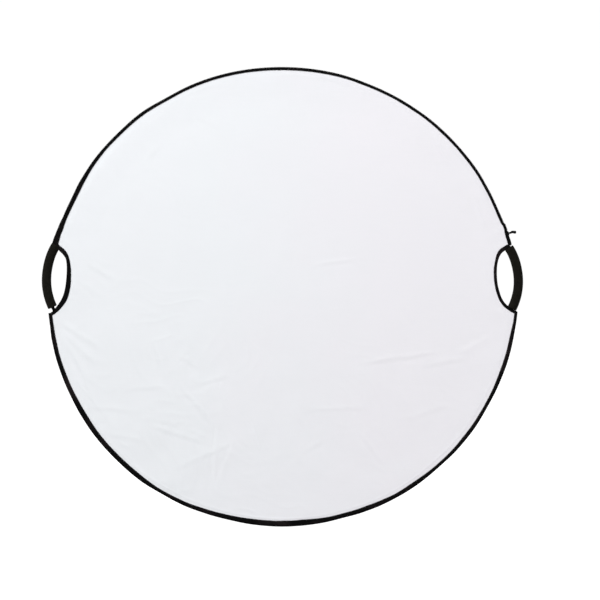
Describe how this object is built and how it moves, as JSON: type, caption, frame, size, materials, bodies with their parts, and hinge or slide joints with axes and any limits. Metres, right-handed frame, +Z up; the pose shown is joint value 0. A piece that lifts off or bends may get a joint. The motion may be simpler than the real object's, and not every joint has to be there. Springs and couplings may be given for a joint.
{
  "type": "collapsible reflector disc",
  "caption": "Round collapsible photographic reflector: sprung hoop, sheer diffuser core, zipped two-sided cloth cover, and a foam grip in a hand hole at each side.",
  "frame": {"origin": "centre of the whole object, on the disc's mid plane", "axes": "+X to the right seen from the front, through the grips; +Y from the white front face towards the black back face; +Z up, the zipped half of the rim at the top"},
  "size_m": [1.1522, 0.0226, 1.1],
  "materials": {
    "spring_steel": "blued spring steel, satin",
    "zip_metal": "dark lacquered zinc",
    "diffuser_cloth": "sheer matt knit",
    "white_cloth": "white woven polyester, slight sheen, silver-coated on its inner side",
    "black_cloth": "black woven polyester, gold-coated on its inner side",
    "binding": "black woven tape, stitched",
    "tube_cloth": "matt black knit tube",
    "zip_cloth": "black zip tape",
    "zip_nylon": "black nylon coil",
    "pull_rubber": "soft black moulded pull",
    "grip_foam": "black foam, slightly fuzzy",
    "grip_lining": "black plastic tube"
  },
  "bodies": {
    "disc": {"hoop_band": "spring_steel", "hoop_ferrule": "zip_metal", "hoop_tube_left": "tube_cloth", "hoop_tube_right": "tube_cloth", "diffuser_panel": "diffuser_cloth", "diffuser_rim_tape_upper": "binding", "diffuser_rim_tape_lower": "binding", "diffuser_cutout_tape_left": "binding", "diffuser_cutout_tape_right": "binding", "cover_front_field": "white_cloth", "cover_back_panel": "black_cloth", "cover_rim_binding_lower": "binding", "cover_front_cutout_tape_left": "binding", "cover_front_cutout_tape_right": "binding", "cover_back_cutout_tape_left": "binding", "cover_back_cutout_tape_right": "binding", "zip_tape_back": "zip_cloth", "zip_coil_back": "zip_nylon", "zip_end_tab_left": "binding", "zip_end_tab_right": "binding", "zip_end_stop": "zip_metal", "zip_start_stop": "zip_metal"},
    "front_flap": {"cover_front_flap": "white_cloth", "zip_tape_front": "zip_cloth", "zip_coil_front": "zip_nylon"},
    "zip_slider": {"zip_slider": "zip_metal"},
    "zip_pull": {"zip_pull": "pull_rubber"},
    "left_grip": {"grip_sleeve_left": "grip_foam", "grip_liner_left": "grip_lining"},
    "right_grip": {"grip_sleeve_right": "grip_foam", "grip_liner_right": "grip_lining"}
  },
  "joints": [
    {"name": "zip_run", "type": "hinge", "parent": "disc", "child": "zip_slider", "pos_m": [0, 0, -0.0143], "axis": [0, -1, 0], "range_deg": [0, 145.8]},
    {"name": "front_flap_fold", "type": "hinge", "parent": "disc", "child": "front_flap", "pos_m": [0, -0.0057, 0.1437], "axis": [1, 0, 0], "range_deg": [0, 176]},
    {"name": "zip_pull_swing", "type": "hinge", "parent": "zip_slider", "child": "zip_pull", "pos_m": [0.54203, 0, 0.15245], "axis": [0, -1, 0], "range_deg": [-75, 75]},
    {"name": "left_grip_slide", "type": "hinge", "parent": "disc", "child": "left_grip", "pos_m": [-0.41483, 0, 0.03374], "axis": [0, 1, 0], "range_deg": [-3.25, 0]},
    {"name": "right_grip_slide", "type": "hinge", "parent": "disc", "child": "right_grip", "pos_m": [0.41483, 0, 0.03374], "axis": [0, -1, 0], "range_deg": [-1.35, 1.9]}
  ],
  "couplings": [
    {"joint": "front_flap_fold", "follows": "zip_run", "ratio": 1.2}
  ]
}
